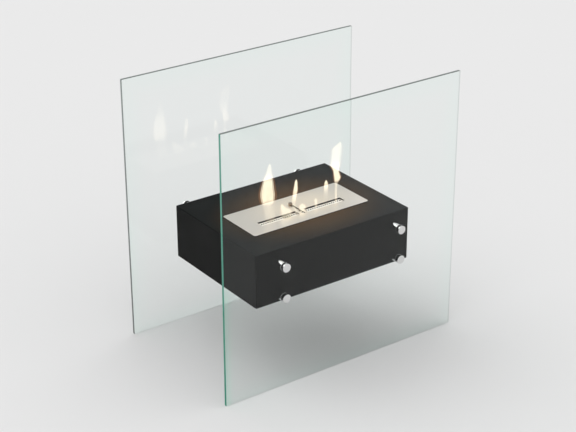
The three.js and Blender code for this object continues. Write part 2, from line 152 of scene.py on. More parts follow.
# Glass: what one pane lets through, in its middle, near its rim and where its cut edge glows
PANE_BEND = 1.5
PANE_MIRROR_TINT = (0.21, 0.21, 0.21, 1.0)
PANE_TINT = (0.955, 0.978, 0.970, 1.0)
PANE_RIM_TINT = (0.932, 0.985, 0.967, 1.0)
PANE_RIM_WIDTH = 60 * MM
PANE_GLOW_TINT = (0.79, 0.985, 0.90, 1.0)
PANE_GLOW_WIDTH = 22 * MM
PANE_GLOW_TOP = 300 * MM
PANE_GLOW_FULL = 230 * MM
PANE_GLOW_FRONT = 1.0
PANE_GLOW_BACK = 0.15
PANE_MARKED_ROUGHNESS = 0.015
EDGE_FRONT_LOW = (0.035, 0.235, 0.165, 1.0)
EDGE_FRONT_HIGH = (0.13, 0.33, 0.26, 1.0)
EDGE_BACK_LOW = (0.15, 0.157, 0.155, 1.0)
EDGE_BACK_HIGH = (0.25, 0.28, 0.27, 1.0)
EDGE_TOP = (0.17, 0.195, 0.185, 1.0)
EDGE_FROM_INSIDE = (0.80, 0.81, 0.805, 1.0)
EDGE_ROUGHNESS = (0.25, 0.45)
EDGE_SHEEN = 0.1
FOOT_EDGE_TINT = (0.93, 0.94, 0.935, 1.0)

# Black powder coat. Its top is painted darker than its walls as shade, and a painted brown glow of the flames
# lies on the top round the burner
COAT_WALL = (0.0090, 0.0090, 0.0088, 1.0)
COAT_TOP_SHADED = (0.0065, 0.0080, 0.0078, 1.0)
COAT_FLAME_GLOW = (0.084, 0.044, 0.016, 1.0)
COAT_SHEEN = 0.028
COAT_TONES = (0.75, 1.25)
COAT_ROUGHNESS = 0.38
COAT_MARKED_ROUGHNESS = 0.10
COAT_GRAIN_SCALE = 900.0
COAT_GRAIN_HEIGHT = 0.04 * MM
GLOW_PATCH_MIDDLE = (12.0 * MM, -12.0 * MM)
GLOW_PATCH_REACH = (215.0 * MM, 165.0 * MM)
GLOW_PATCH_FADE = (1.05, 0.30)

# Steel: the brushed plate with its heat tint and painted flame light, the near-black steel that is painted
# shade on its edges and in its slots, screws, the browned knob and the polished standoffs
PLATE_LOW = (0.69, 0.635, 0.58, 1.0)
PLATE_HIGH = (0.80, 0.735, 0.675, 1.0)
PLATE_TINT_AND_FLAME_LIGHT = (0.97, 0.845, 0.70, 1.0)
TINTED_MIDDLE = (15.0 * MM, -5.0 * MM)
TINTED_REACH = (150.0 * MM, 85.0 * MM)
TINTED_FADE = (1.0, 0.2)
PLATE_ROUGHNESS = (0.30, 0.38)
BRUSH_HEIGHT = 0.002 * MM
SHADE_STEEL_LOW = (0.005, 0.0045, 0.004, 1.0)
SHADE_STEEL_HIGH = (0.014, 0.012, 0.011, 1.0)
SHADE_STEEL_ROUGHNESS = (0.45, 0.65)
SHADE_STEEL_SHEEN = 0.15
SHADE_STEEL_GRAIN_SCALE = 700.0
SHADE_STEEL_GRAIN_HEIGHT = 0.03 * MM
SCREW_LOW = (0.36, 0.365, 0.375, 1.0)
SCREW_HIGH = (0.48, 0.48, 0.49, 1.0)
KNOB_LOW = (0.24, 0.18, 0.135, 1.0)
KNOB_HIGH = (0.38, 0.30, 0.235, 1.0)
TURNED_ROUGHNESS = (0.22, 0.34)
TURNED_RING_HEIGHT = 0.006 * MM
POLISHED_LOW = (0.70, 0.70, 0.695, 1.0)
POLISHED_HIGH = (0.76, 0.76, 0.755, 1.0)
POLISHED_ROUGHNESS = (0.05, 0.16)
POLISHED_RING_HEIGHT = 0.003 * MM

# Rubber of the gaskets
RUBBER_LOW = (0.006, 0.006, 0.007, 1.0)
RUBBER_HIGH = (0.014, 0.014, 0.015, 1.0)
RUBBER_ROUGHNESS = (0.5, 0.7)
RUBBER_SHEEN = 0.3
RUBBER_GRAIN_SCALE = 2600.0
RUBBER_GRAIN_HEIGHT = 0.02 * MM

# Ceramic wool, with a faint painted glow that stands in for the flames' light wherever it isn't scorched or
# shaded
WOOL_LOW = (0.84, 0.82, 0.78, 1.0)
WOOL_HIGH = (0.95, 0.94, 0.91, 1.0)
WOOL_SOOTED = (0.55, 0.50, 0.43, 1.0)
WOOL_SCORCH_AND_SHADE = (0.020, 0.017, 0.014, 1.0)
WOOL_FLAME_LIGHT = (1.0, 0.86, 0.68, 1.0)
WOOL_FLAME_LIGHT_STRENGTH = 0.34
WOOL_SOOT_BAND = (0.52, 0.75)
WOOL_SOOT_SHARE = 0.3
WOOL_ROUGHNESS = 0.95
WOOL_SHEEN = 0.1
WOOL_FIBRE_HEIGHT = 0.4 * MM
SPECK_BAND = (-0.35, 0.15)

# Burning gas
FLAME_STRENGTH = 4.7
FLAME_MIRROR_GAIN = 6.5
FLAME_OUTER_COLOUR = (1.0, 0.42, 0.16, 1.0)
FLAME_PALE_COLOUR = (1.0, 0.92, 0.70, 1.0)
FLAME_STREAKS = (170.0, 170.0, 14.0)
FLAME_STREAK_BAND = (0.40, 0.62)
FLAME_WISPS = (120.0, 120.0, 36.0)
FLAME_WISP_BAND = (0.25, 0.75)
FLAME_WISP_COVER = (0.85, 1.12)

# ---------------------------------------------------------------- camera and studio

SENSOR_WIDTH = 36.0
LENS = 95.05
CAMERA_PLACE = Vector((-1.7378, -2.4096, 1.6780))
CAMERA_AIM = Vector((-0.0105, -0.0013, 0.2801))
CAMERA_ROLL = math.radians(-0.16)
CAMERA_SEES_TO = 100.0

FLOOR_COLOUR = (0.80, 0.80, 0.80, 1.0)
FLOOR_SIZE = 40.0
FLOOR_DROP = 0.2 * MM
SKY_HORIZON = 1.10
SKY_OVERHEAD = 0.85
SKY_BEHIND = 0.80
WINDOW_FROM = Vector((-0.45, 0.72, 0.53))
WINDOW_SPREAD = math.radians(50)
WINDOW_STRENGTH = 0.58


def place_camera():
    camera = bpy.data.objects.new("camera", bpy.data.cameras.new("camera"))
    camera.data.sensor_width = SENSOR_WIDTH
    camera.data.lens = LENS
    camera.data.clip_end = CAMERA_SEES_TO
    towards = (CAMERA_AIM - CAMERA_PLACE).to_track_quat("-Z", "Y").to_matrix().to_4x4()
    camera.matrix_world = Matrix.Translation(CAMERA_PLACE) @ towards @ Matrix.Rotation(CAMERA_ROLL, 4, "Z")
    bpy.context.scene.collection.objects.link(camera)
    bpy.context.scene.camera = camera


def light_studio():
    """A soft sky that is brighter low down than overhead, and a broad window light from behind.
    Behind the object, and through its glass, the sky has the floor's own tone."""
    world = bpy.data.worlds.new("soft_studio")
    world.use_nodes = True
    bpy.context.scene.world = world
    tree = world.node_tree
    direction = tree.nodes.new("ShaderNodeSeparateXYZ")
    link(tree, tree.nodes.new("ShaderNodeTexCoord").outputs["Generated"], direction.inputs[0])
    glow = ranged(tree, direction.outputs["Z"], 0.0, 1.0, SKY_HORIZON, SKY_OVERHEAD, smooth=False)
    path = tree.nodes.new("ShaderNodeLightPath")
    seen = maths(tree, "ADD", path.outputs["Is Camera Ray"], path.outputs["Is Transmission Ray"], clamp=True)
    drop = maths(tree, "MULTIPLY", maths(tree, "SUBTRACT", glow, SKY_BEHIND), seen)
    link(tree, maths(tree, "SUBTRACT", glow, drop), tree.nodes["Background"].inputs["Strength"])
    tree.nodes["Background"].inputs["Color"].default_value = (1.0, 1.0, 1.0, 1.0)
    lamp = bpy.data.objects.new("window_light", bpy.data.lights.new("window_light", "SUN"))
    lamp.data.energy = WINDOW_STRENGTH
    lamp.data.angle = WINDOW_SPREAD
    lamp.rotation_euler = WINDOW_FROM.to_track_quat("Z", "Y").to_euler()
    bpy.context.scene.collection.objects.link(lamp)


def lay_floor():
    """The plain paper floor, a hair below the panels that stand on it."""
    bm = bmesh.new()
    bmesh.ops.create_grid(bm, x_segments=1, y_segments=1, size=FLOOR_SIZE / 2)
    bmesh.ops.translate(bm, vec=(0, 0, -FLOOR_DROP), verts=bm.verts)
    mesh = bpy.data.meshes.new("studio_floor")
    bm.to_mesh(mesh)
    bm.free()
    floor = bpy.data.objects.new("studio_floor", mesh)
    bpy.context.scene.collection.objects.link(floor)
    material, shader = new_material("studio_paper")
    shader.inputs["Base Color"].default_value = FLOOR_COLOUR
    shader.inputs["Roughness"].default_value = 1.0
    shader.inputs["Specular IOR Level"].default_value = 0.0
    mesh.materials.append(material)


# ---------------------------------------------------------------- shader helpers


def new_material(name):
    material = bpy.data.materials.new(name)
    material.use_nodes = True
    return material, material.node_tree.nodes["Principled BSDF"]


def new_group(name, inputs, outputs):
    """An empty node group. inputs is {name: (socket type, value)} and outputs is {name: socket type}."""
    group = bpy.data.node_groups.new(name, "ShaderNodeTree")
    for label, (kind, value) in inputs.items():
        socket = group.interface.new_socket(label, in_out="INPUT", socket_type=kind)
        socket.default_value = value
    for label, kind in outputs.items():
        group.interface.new_socket(label, in_out="OUTPUT", socket_type=kind)
    return group, group.nodes.new("NodeGroupInput"), group.nodes.new("NodeGroupOutput")


def use_group(tree, group, **values):
    """A group placed in a material, with its own values. An underscore stands for a space."""
    node = tree.nodes.new("ShaderNodeGroup")
    node.node_tree = group
    for label, value in values.items():
        node.inputs[label.replace("_", " ")].default_value = value
    return node


def link(tree, source, target):
    tree.links.new(source, target)


def feed(tree, socket, value):
    """Gives an input a number, or links another node's socket to it."""
    if isinstance(value, bpy.types.NodeSocket):
        link(tree, value, socket)
    elif value is not None:
        socket.default_value = value


def maths(tree, operation, a, b=None, c=None, clamp=False):
    """A Math node. a, b and c are numbers or sockets."""
    node = tree.nodes.new("ShaderNodeMath")
    node.operation = operation
    node.use_clamp = clamp
    for socket, value in zip(node.inputs, (a, b, c)):
        feed(tree, socket, value)
    return node.outputs[0]


def ranged(tree, value, from_low, from_high, to_low=0.0, to_high=1.0, smooth=True):
    """A Map Range node: the first band mapped on the second, with soft ends unless smooth is False."""
    node = tree.nodes.new("ShaderNodeMapRange")
    node.interpolation_type = "SMOOTHSTEP" if smooth else "LINEAR"
    limits = {"Value": value, "From Min": from_low, "From Max": from_high,
              "To Min": to_low, "To Max": to_high}
    for label, number in limits.items():
        feed(tree, node.inputs[label], number)
    return node.outputs["Result"]


def mixed_colour(tree, factor, a, b):
    """A colour Mix node. factor, a and b are values or sockets."""
    node = tree.nodes.new("ShaderNodeMix")
    node.data_type = "RGBA"
    for socket, value in ((node.inputs[0], factor), (node.inputs[6], a), (node.inputs[7], b)):
        feed(tree, socket, value)
    return node.outputs[2]


def scaled_colour(tree, colour, factor):
    """A colour made brighter or darker by a factor from another node."""
    node = tree.nodes.new("ShaderNodeVectorMath")
    node.operation = "SCALE"
    link(tree, colour, node.inputs[0])
    link(tree, factor, node.inputs["Scale"])
    return node.outputs[0]


def object_place(tree):
    return tree.nodes.new("ShaderNodeTexCoord").outputs["Object"]


def place_along(tree):
    """Object coordinates, split into X, Y and Z."""
    node = tree.nodes.new("ShaderNodeSeparateXYZ")
    link(tree, object_place(tree), node.inputs[0])
    return node.outputs


def attribute(tree, name):
    node = tree.nodes.new("ShaderNodeAttribute")
    node.attribute_name = name
    return node.outputs["Fac"]


def stretched(tree, place, scale):
    """Coordinates scaled along each axis, so that a texture on them is drawn out."""
    node = tree.nodes.new("ShaderNodeMapping")
    node.inputs["Scale"].default_value = scale
    link(tree, place, node.inputs["Vector"])
    return node.outputs["Vector"]


def noise_of(tree, place, scale, detail=3.0, roughness=0.5):
    node = tree.nodes.new("ShaderNodeTexNoise")
    for label, value in (("Vector", place), ("Scale", scale), ("Detail", detail), ("Roughness", roughness)):
        feed(tree, node.inputs[label], value)
    return node.outputs["Fac"]


def bump(tree, height, distance):
    node = tree.nodes.new("ShaderNodeBump")
    node.inputs["Strength"].default_value = 1.0
    node.inputs["Distance"].default_value = distance
    link(tree, height, node.inputs["Height"])
    return node.outputs["Normal"]


def mixed_surface(tree, factor, a, b):
    """Two shaders mixed into the material's surface."""
    mix = tree.nodes.new("ShaderNodeMixShader")
    for socket, value in zip(mix.inputs, (factor, a, b)):
        link(tree, value, socket)
    link(tree, mix.outputs[0], tree.nodes["Material Output"].inputs["Surface"])


def see_through(tree, tint):
    node = tree.nodes.new("ShaderNodeBsdfTransparent")
    feed(tree, node.inputs["Color"], tint)
    return node.outputs[0]


# ---------------------------------------------------------------- shared effects


def make_smudges():
    """Faint wiping marks and dust on whatever is handled: a mask from 0 to 1."""
    group, _, out = new_group("handling_marks", {}, {"Mask": "NodeSocketFloat"})
    place = object_place(group)
    cloudy = noise_of(group, stretched(group, place, (1.0, 1.0, 0.7)), 9.0, detail=4.0, roughness=0.6)
    fine = noise_of(group, stretched(group, place, (1.0, 1.0, 0.25)), 160.0, roughness=0.6)
    patches = ranged(group, cloudy, 0.50, 0.72)
    link(group, maths(group, "MULTIPLY", patches, fine), out.inputs["Mask"])
    return group


def make_powder_grain():
    """Orange-peel grain of baked powder coat: a height, and a tone that varies a little."""
    inputs = {"Grain Scale": ("NodeSocketFloat", COAT_GRAIN_SCALE)}
    outputs = {"Height": "NodeSocketFloat", "Tone": "NodeSocketFloat"}
    group, given, out = new_group("powder_grain", inputs, outputs)
    place = object_place(group)
    grain = noise_of(group, place, given.outputs["Grain Scale"], detail=2.0)
    broad = noise_of(group, place, 14.0)
    link(group, grain, out.inputs["Height"])
    tone = maths(group, "ADD", maths(group, "MULTIPLY", grain, 0.35), maths(group, "MULTIPLY", broad, 0.65))
    link(group, tone, out.inputs["Tone"])
    return group


def make_brush_lines():
    """Fine lines of brushed sheet, along X: a height and a streak mask."""
    group, _, out = new_group("brush_lines", {}, {"Height": "NodeSocketFloat", "Streaks": "NodeSocketFloat"})
    place = object_place(group)
    fine = noise_of(group, stretched(group, place, (6.0, 1100.0, 1100.0)), 1.0, detail=4.0, roughness=0.7)
    broad = noise_of(group, stretched(group, place, (3.0, 180.0, 180.0)), 1.0, roughness=0.6)
    streaks = maths(group, "ADD", maths(group, "MULTIPLY", fine, 0.6), maths(group, "MULTIPLY", broad, 0.4))
    link(group, fine, out.inputs["Height"])
    link(group, streaks, out.inputs["Streaks"])
    return group


def make_turning_rings():
    """Rings that a lathe leaves, read from the piece's own run along its profile."""
    group, _, out = new_group("turning_rings", {}, {"Height": "NodeSocketFloat"})
    rings = group.nodes.new("ShaderNodeTexNoise")
    rings.noise_dimensions = "1D"
    rings.inputs["Scale"].default_value = 3500.0
    rings.inputs["Detail"].default_value = 2.0
    link(group, attribute(group, "lathe_run"), rings.inputs["W"])
    link(group, rings.outputs["Fac"], out.inputs["Height"])
    return group


# ---------------------------------------------------------------- materials


def patch_on(tree, middle, reach, uneven):
    """Distance from the middle of an oval patch on a flat top, 1 at its rim. uneven, a value from
    another node, makes it wander."""
    along = place_along(tree)
    across = maths(tree, "DIVIDE", maths(tree, "SUBTRACT", along["X"], middle[0]), reach[0])
    depth = maths(tree, "DIVIDE", maths(tree, "SUBTRACT", along["Y"], middle[1]), reach[1])
    square = maths(tree, "MULTIPLY_ADD", across, across, maths(tree, "MULTIPLY", depth, depth))
    wander = maths(tree, "MULTIPLY_ADD", uneven, PATCH_WANDER, -PATCH_WANDER / 2)
    return maths(tree, "ADD", maths(tree, "SQRT", square), wander)


def black_powder_coat():
    """Matt black all over. The top is painted darker than the walls as shade, and a painted brown glow of the
    flames lies on the top round the burner.
    """
    material, shader = new_material("black_powder_coat")
    tree = material.node_tree
    grain = use_group(tree, powder_grain, Grain_Scale=COAT_GRAIN_SCALE)
    box_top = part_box("firebox_shell")[1].z
    on_top = ranged(tree, place_along(tree)["Z"], box_top - 2 * MM, box_top - 0.3 * MM)
    # Painted light: a brown glow of the flames on the top round the burner, fading outwards.
    distance = patch_on(tree, GLOW_PATCH_MIDDLE, GLOW_PATCH_REACH, grain.outputs["Tone"])
    flame_glow = maths(tree, "MULTIPLY", ranged(tree, distance, *GLOW_PATCH_FADE), on_top)
    # Painted shade: the top takes a darker colour than the walls.
    plain = mixed_colour(tree, on_top, COAT_WALL, COAT_TOP_SHADED)
    tone = mixed_colour(tree, flame_glow, plain, COAT_FLAME_GLOW)
    varied = ranged(tree, grain.outputs["Tone"], *NOISE_BAND, *COAT_TONES, smooth=False)
    link(tree, scaled_colour(tree, tone, varied), shader.inputs["Base Color"])
    marks = use_group(tree, handling_marks)
    rough = maths(tree, "MULTIPLY_ADD", marks.outputs["Mask"], COAT_MARKED_ROUGHNESS, COAT_ROUGHNESS)
    link(tree, rough, shader.inputs["Roughness"])
    shader.inputs["Specular IOR Level"].default_value = COAT_SHEEN
    link(tree, bump(tree, grain.outputs["Height"], COAT_GRAIN_HEIGHT), shader.inputs["Normal"])
    return material


def brushed_stainless():
    """Brushed along X, tinted straw by heat round the flames and brightened there by painted warm light of
    the flames.
    """
    material, shader = new_material("brushed_stainless")
    tree = material.node_tree
    lines = use_group(tree, brush_lines)
    plain = mixed_colour(tree, lines.outputs["Streaks"], PLATE_LOW, PLATE_HIGH)
    # Heat tint and painted light: a warmer, brighter patch round the flames.
    distance = patch_on(tree, TINTED_MIDDLE, TINTED_REACH, lines.outputs["Streaks"])
    colour = mixed_colour(tree, ranged(tree, distance, *TINTED_FADE), plain, PLATE_TINT_AND_FLAME_LIGHT)
    link(tree, colour, shader.inputs["Base Color"])
    shader.inputs["Metallic"].default_value = 1.0
    rough = ranged(tree, lines.outputs["Streaks"], *NOISE_BAND, *PLATE_ROUGHNESS)
    link(tree, rough, shader.inputs["Roughness"])
    link(tree, bump(tree, lines.outputs["Height"], BRUSH_HEIGHT), shader.inputs["Normal"])
    return material


def painted_shade_steel():
    """Near-black steel that is painted shade: the plate's edges and underside, the walls of its slots,
    and the underside of the lid, dark as the shadow gap round the plate and the shade inside the slots."""
    material, shader = new_material("painted_shade_steel")
    tree = material.node_tree
    grain = use_group(tree, powder_grain, Grain_Scale=SHADE_STEEL_GRAIN_SCALE)
    link(tree, mixed_colour(tree, grain.outputs["Tone"], SHADE_STEEL_LOW, SHADE_STEEL_HIGH), shader.inputs["Base Color"])
    link(tree, ranged(tree, grain.outputs["Tone"], *NOISE_BAND, *SHADE_STEEL_ROUGHNESS), shader.inputs["Roughness"])
    shader.inputs["Specular IOR Level"].default_value = SHADE_STEEL_SHEEN
    link(tree, bump(tree, grain.outputs["Height"], SHADE_STEEL_GRAIN_HEIGHT), shader.inputs["Normal"])
    return material


def polished_steel():
    """Mirror-bright, with faint rings and a few wiping marks."""
    material, shader = new_material("polished_steel")
    tree = material.node_tree
    rings = use_group(tree, turning_rings)
    colour = mixed_colour(tree, rings.outputs["Height"], POLISHED_LOW, POLISHED_HIGH)
    link(tree, colour, shader.inputs["Base Color"])
    shader.inputs["Metallic"].default_value = 1.0
    marks = use_group(tree, handling_marks)
    link(tree, ranged(tree, marks.outputs["Mask"], 0.0, 0.6, *POLISHED_ROUGHNESS), shader.inputs["Roughness"])
    link(tree, bump(tree, rings.outputs["Height"], POLISHED_RING_HEIGHT), shader.inputs["Normal"])
    return material


def turned_steel(name, low, high):
    """Turned and left as it came off the lathe: the screws, and the knob that the flames have browned."""
    material, shader = new_material(name)
    tree = material.node_tree
    rings = use_group(tree, turning_rings)
    colour = mixed_colour(tree, rings.outputs["Height"], low, high)
    link(tree, colour, shader.inputs["Base Color"])
    shader.inputs["Metallic"].default_value = 1.0
    rough = ranged(tree, rings.outputs["Height"], *NOISE_BAND, *TURNED_ROUGHNESS)
    link(tree, rough, shader.inputs["Roughness"])
    link(tree, bump(tree, rings.outputs["Height"], TURNED_RING_HEIGHT), shader.inputs["Normal"])
    return material


def gasket_rubber():
    """Dull black rubber with a fine grain."""
    material, shader = new_material("gasket_rubber")
    tree = material.node_tree
    grain = use_group(tree, powder_grain, Grain_Scale=RUBBER_GRAIN_SCALE)
    tone = mixed_colour(tree, grain.outputs["Tone"], RUBBER_LOW, RUBBER_HIGH)
    link(tree, tone, shader.inputs["Base Color"])
    rough = ranged(tree, grain.outputs["Tone"], *NOISE_BAND, *RUBBER_ROUGHNESS)
    link(tree, rough, shader.inputs["Roughness"])
    shader.inputs["Specular IOR Level"].default_value = RUBBER_SHEEN
    link(tree, bump(tree, grain.outputs["Height"], RUBBER_GRAIN_HEIGHT), shader.inputs["Normal"])
    return material


def ceramic_wool():
    """White fibre, a little sooted. It is scorched in specks along the groove, where the flames
    stand. A painted shade darkens it all along the back of the slots, and everywhere else a faint painted
    glow stands in for the flames' light."""
    material, shader = new_material("ceramic_wool")
    tree = material.node_tree
    place = object_place(tree)
    along = place_along(tree)
    along_x = stretched(tree, place, (500.0, 1700.0, 1700.0))
    along_y = stretched(tree, place, (1700.0, 500.0, 1700.0))
    fibres = noise_of(tree, along_x, 1.0, detail=5.0, roughness=0.7)
    crossing = noise_of(tree, along_y, 1.0, detail=5.0, roughness=0.7)
    height = maths(tree, "MAXIMUM", fibres, crossing)
    sooty = ranged(tree, noise_of(tree, place, 60.0, detail=4.0, roughness=0.6), *WOOL_SOOT_BAND)
    clean = mixed_colour(tree, height, WOOL_LOW, WOOL_HIGH)
    darkened = mixed_colour(tree, maths(tree, "MULTIPLY", sooty, WOOL_SOOT_SHARE), clean, WOOL_SOOTED)
    off_groove = maths(tree, "ABSOLUTE", maths(tree, "SUBTRACT", along["Y"], GROOVE_Y))
    in_groove = ranged(tree, off_groove, GROOVE_HALF_WIDTH * 1.1, GROOVE_HALF_WIDTH * 0.7)
    turns = maths(tree, "MULTIPLY", along["X"], math.tau / SPECK_SPACING)
    wander = maths(tree, "MULTIPLY_ADD", noise_of(tree, place, 90.0, detail=2.0), 2.0, turns)
    specks = ranged(tree, maths(tree, "SINE", wander), *SPECK_BAND)
    # Painted shade: the wool goes dark all along the back of the slots, where the plate's far edge shades it.
    shaded_back = ranged(tree, along["Y"], SLOT_BACK_Y - BACK_SHADE_WIDTH, SLOT_BACK_Y - BACK_SHADE_WIDTH / 2)
    scorch_and_shade = maths(tree, "MAXIMUM", maths(tree, "MULTIPLY", in_groove, specks), shaded_back)
    link(tree, mixed_colour(tree, scorch_and_shade, darkened, WOOL_SCORCH_AND_SHADE), shader.inputs["Base Color"])
    # Painted light: a faint glow standing in for the flames' light, wherever the wool isn't scorched or
    # shaded.
    link(tree, mixed_colour(tree, scorch_and_shade, WOOL_FLAME_LIGHT, BLACK), shader.inputs["Emission Color"])
    shader.inputs["Emission Strength"].default_value = WOOL_FLAME_LIGHT_STRENGTH
    shader.inputs["Roughness"].default_value = WOOL_ROUGHNESS
    shader.inputs["Specular IOR Level"].default_value = WOOL_SHEEN
    link(tree, bump(tree, height, WOOL_FIBRE_HEIGHT), shader.inputs["Normal"])
    return material


def pane_tint(tree, glow):
    """What a pane lets through: greener towards its rim, and aqua where the low left edge glows into
    it. glow is how strongly it does."""
    along = place_along(tree)
    half_width = (glass_high.x - glass_low.x) / 2
    half_height = (glass_high.z - glass_low.z) / 2
    from_side = maths(tree, "SUBTRACT", half_width, maths(tree, "ABSOLUTE", along["X"]))
    height_off = maths(tree, "SUBTRACT", along["Z"], half_height)
    from_end = maths(tree, "SUBTRACT", half_height, maths(tree, "ABSOLUTE", height_off))
    from_rim = maths(tree, "MINIMUM", from_side, from_end)
    tint = mixed_colour(tree, ranged(tree, from_rim, 0.0, PANE_RIM_WIDTH), PANE_RIM_TINT, PANE_TINT)
    from_left = maths(tree, "SUBTRACT", along["X"], glass_low.x)
    near_left = ranged(tree, from_left, PANE_GLOW_WIDTH, 0.0, 0.0, glow)
    low = ranged(tree, along["Z"], PANE_GLOW_TOP, PANE_GLOW_FULL)
    return mixed_colour(tree, maths(tree, "MULTIPLY", near_left, low), tint, PANE_GLOW_TINT)


def float_glass(name, tint_of, bend):
    """Clear glass that lets lamps through. tint_of puts its tint in the material's tree, and bend is
    its index of refraction."""
    material, shader = new_material(name)
    tree = material.node_tree
    colour = tint_of(tree)
    feed(tree, shader.inputs["Base Color"], colour)
    shader.inputs["Transmission Weight"].default_value = 1.0
    shader.inputs["IOR"].default_value = bend
    shader.inputs["Specular Tint"].default_value = PANE_MIRROR_TINT
    marks = use_group(tree, handling_marks)
    rough = ranged(tree, marks.outputs["Mask"], 0.3, 1.0, 0.0, PANE_MARKED_ROUGHNESS)
    link(tree, rough, shader.inputs["Roughness"])
    path = tree.nodes.new("ShaderNodeLightPath")
    mixed_surface(tree, path.outputs["Is Shadow Ray"], shader.outputs[0], see_through(tree, colour))
    return material


def glass_edge(name, low, high):
    """The ground edge of a pane: from outside a given colour that runs from low at its foot to high at its
    top, and clear from inside the pane."""
    material, shader = new_material(name)
    tree = material.node_tree
    share = ranged(tree, place_along(tree)["Z"], glass_low.z, glass_high.z, smooth=False)
    uneven = noise_of(tree, object_place(tree), 16.0)
    share = maths(tree, "ADD", share, ranged(tree, uneven, *NOISE_BAND, -0.15, 0.15), clamp=True)
    link(tree, mixed_colour(tree, share, low, high), shader.inputs["Base Color"])
    link(tree, ranged(tree, uneven, *NOISE_BAND, *EDGE_ROUGHNESS), shader.inputs["Roughness"])
    shader.inputs["Specular IOR Level"].default_value = EDGE_SHEEN
    side = tree.nodes.new("ShaderNodeNewGeometry")
    mixed_surface(tree, side.outputs["Backfacing"], shader.outputs[0], see_through(tree, EDGE_FROM_INSIDE))
    return material


def burning_gas():
    """Flame: pale inside, orange at its outer skin, and almost clear at its foot. A real flame is far
    brighter than white, so where a pane mirrors one it counts brighter than it is seen directly."""
    material, shader = new_material("burning_gas")
    tree = material.node_tree
    colour = mixed_colour(tree, attribute(tree, "flame_pale"), FLAME_OUTER_COLOUR, FLAME_PALE_COLOUR)
    path = tree.nodes.new("ShaderNodeLightPath")
    mirrored = maths(tree, "MULTIPLY", path.outputs["Is Reflection Ray"], path.outputs["Is Singular Ray"])
    gain = maths(tree, "MULTIPLY_ADD", mirrored, FLAME_MIRROR_GAIN - 1, 1.0)
    link(tree, scaled_colour(tree, colour, gain), shader.inputs["Emission Color"])
    shader.inputs["Emission Strength"].default_value = FLAME_STRENGTH
    shader.inputs["Base Color"].default_value = BLACK
    shader.inputs["Specular IOR Level"].default_value = 0.0
    shader.inputs["Roughness"].default_value = 1.0
    streaks = noise_of(tree, stretched(tree, object_place(tree), FLAME_STREAKS), 1.0, detail=2.0)
    streaky = ranged(tree, streaks, *FLAME_STREAK_BAND)
    body = attribute(tree, "flame_body")
    filled = maths(tree, "MULTIPLY_ADD", body, maths(tree, "SUBTRACT", 1.0, streaky), streaky)
    solid = maths(tree, "MULTIPLY", body, filled)
    wisps = noise_of(tree, stretched(tree, object_place(tree), FLAME_WISPS), 1.0)
    broken = ranged(tree, wisps, *FLAME_WISP_BAND, *FLAME_WISP_COVER)
    cover = maths(tree, "MULTIPLY", attribute(tree, "flame_cover"), broken)
    link(tree, maths(tree, "MULTIPLY", cover, solid, clamp=True), shader.inputs["Alpha"])
    return material


# ---------------------------------------------------------------- modelling helpers


def finish_piece(bm, name, materials, body, replaced=(), crease=35.0, flat_faces=True):
    """Puts a finished mesh in the scene as a named piece that rides on a body. Edges sharper than
    crease degrees stay sharp, and flat_faces keeps large flat faces flat beside small rounded ones."""
    mesh = bpy.data.meshes.new(name)
    bm.to_mesh(mesh)
    bm.free()
    if crease:
        mesh.shade_smooth()
        mesh.set_sharp_from_angle(angle=math.radians(crease))
    for material in materials:
        mesh.materials.append(material)
    piece = bpy.data.objects.new(name, mesh)
    bpy.context.scene.collection.objects.link(piece)
    if crease and flat_faces:
        piece.modifiers.new("flat_faces", "WEIGHTED_NORMAL").keep_sharp = True
    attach(piece, body)
    if replaced:
        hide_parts(*replaced)
    return piece


def sharp_edges(bm, angle=25.0):
    limit = math.radians(angle)
    return [e for e in bm.edges if len(e.link_faces) == 2 and e.calc_face_angle() > limit]


def rounded(bm, edges, width, segments=2):
    bmesh.ops.bevel(bm, geom=edges, offset=width, offset_type="OFFSET", segments=segments,
                    profile=0.5, affect="EDGES", clamp_overlap=True, material=-1)


def sink_hex_socket(bm, radius, depth):
    """Closes the open round front of a screw head with a hexagonal socket, along +Z."""
    rim = [e for e in bm.edges if len(e.link_faces) == 1]
    level = rim[0].verts[0].co.z
    corners = bmesh.ops.create_circle(bm, segments=6, radius=radius, matrix=Matrix.Translation((0, 0, level)))
    sides = list({e for v in corners["verts"] for e in v.link_edges})
    bmesh.ops.bridge_loops(bm, edges=rim + sides)
    walls = bmesh.ops.extrude_edge_only(bm, edges=sides)["geom"]
    sunk = [part for part in walls if isinstance(part, bmesh.types.BMVert)]
    bmesh.ops.translate(bm, vec=(0, 0, depth), verts=sunk)
    bottom = [e for e in bm.edges if len(e.link_faces) == 1]
    bmesh.ops.contextual_create(bm, geom=bottom)


def turned(profile, centre, direction, round_width=RIM_ROUND, segments=TURNED_SEGMENTS, socket=None):
    """A closed lathe form. profile is [radius, distance along direction] from centre. It keeps each
    point's run along the profile as an attribute, for the rings that the tool leaves. socket is the
    radius and depth of a hexagonal socket in an open front."""
    bm = bmesh.new()
    points = [bm.verts.new((radius, 0.0, along)) for radius, along in profile]
    edges = [bm.edges.new(pair) for pair in zip(points, points[1:])]
    bmesh.ops.spin(bm, geom=points + edges, cent=(0, 0, 0), axis=(0, 0, 1), angle=math.tau,
                   steps=segments, use_merge=True, use_duplicate=False)
    bmesh.ops.remove_doubles(bm, verts=bm.verts, dist=1e-7)
    if socket:
        sink_hex_socket(bm, *socket)
    bmesh.ops.recalc_face_normals(bm, faces=bm.faces)
    if round_width:
        rounded(bm, sharp_edges(bm), round_width, 3)
    run = bm.verts.layers.float.new("lathe_run")
    for vert in bm.verts:
        vert[run] = math.hypot(vert.co.x, vert.co.y) - vert.co.z
    turn = direction.to_track_quat("Z", "Y").to_matrix().to_4x4()
    bmesh.ops.transform(bm, matrix=Matrix.Translation(centre) @ turn, verts=bm.verts)
    return bm


